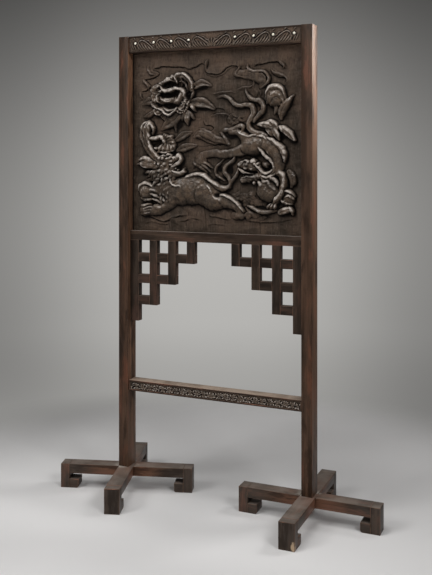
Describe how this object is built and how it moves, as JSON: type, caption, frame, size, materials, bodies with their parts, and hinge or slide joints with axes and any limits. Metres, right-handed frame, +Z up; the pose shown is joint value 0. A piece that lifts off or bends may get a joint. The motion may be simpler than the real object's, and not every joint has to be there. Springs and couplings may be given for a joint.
{
  "type": "carved wooden floor screen",
  "caption": "Free-standing dark wood floor screen: a framed high-relief panel of lions and peonies over a stepped fret, on posts with turning cross-shaped feet.",
  "frame": {"origin": "on the floor, midway between the two posts; the feet stand at slightly different angles, so the bounding box's bottom centre is within 2 mm of it", "axes": "+X to the right along the screen as seen from its carved front, +Y from the carved front to the back, +Z up"},
  "size_m": [1.1852, 0.4888, 1.656],
  "materials": {
    "frame_wood": "old dark stained hardwood, worn satin wax",
    "carved_wood": "old dark carved hardwood, waxed and rubbed on the high places",
    "fret_wood": "old dark stained hardwood, satin",
    "foot_wood": "old dark hardwood, scuffed and dusty on top",
    "bone": "polished bone",
    "dark_iron": "dark iron"
  },
  "bodies": {
    "frame": {"post_left": "frame_wood", "post_right": "frame_wood", "top_rail": "carved_wood", "fret_rail": "fret_wood", "lower_rail": "carved_wood", "bone_dots": "bone", "panel_board_left": "carved_wood", "panel_board_middle": "carved_wood", "panel_board_right": "carved_wood", "panel_batten_upper": "frame_wood", "panel_batten_lower": "frame_wood", "left_fret_stile": "fret_wood", "left_fret_upright_1": "fret_wood", "left_fret_upright_2": "fret_wood", "left_fret_upright_3": "fret_wood", "left_fret_crossbar_1": "fret_wood", "left_fret_crossbar_2": "fret_wood", "left_fret_crossbar_3": "fret_wood", "right_fret_stile": "fret_wood", "right_fret_upright_1": "fret_wood", "right_fret_upright_2": "fret_wood", "right_fret_upright_3": "fret_wood", "right_fret_crossbar_1": "fret_wood", "right_fret_crossbar_2": "fret_wood", "right_fret_crossbar_3": "fret_wood", "foot_washers": "dark_iron", "foot_screws": "dark_iron"},
    "left_foot": {"left_foot_side_bar": "foot_wood", "left_foot_front_bar": "foot_wood", "left_foot_right_leg": "foot_wood", "left_foot_back_leg": "foot_wood", "left_foot_left_leg": "foot_wood", "left_foot_front_leg": "foot_wood", "left_foot_right_toe": "foot_wood", "left_foot_back_toe": "foot_wood", "left_foot_left_toe": "foot_wood", "left_foot_front_toe": "foot_wood"},
    "right_foot": {"right_foot_side_bar": "foot_wood", "right_foot_front_bar": "foot_wood", "right_foot_right_leg": "foot_wood", "right_foot_back_leg": "foot_wood", "right_foot_left_leg": "foot_wood", "right_foot_front_leg": "foot_wood", "right_foot_right_toe": "foot_wood", "right_foot_back_toe": "foot_wood", "right_foot_left_toe": "foot_wood", "right_foot_front_toe": "foot_wood"}
  },
  "joints": [
    {"name": "left_foot_turn", "type": "hinge", "parent": "frame", "child": "left_foot", "pos_m": [-0.35, 0, 0.07], "axis": [0, 0, 1], "continuous": true},
    {"name": "right_foot_turn", "type": "hinge", "parent": "frame", "child": "right_foot", "pos_m": [0.35, 0, 0.07], "axis": [0, 0, 1], "continuous": true}
  ]
}
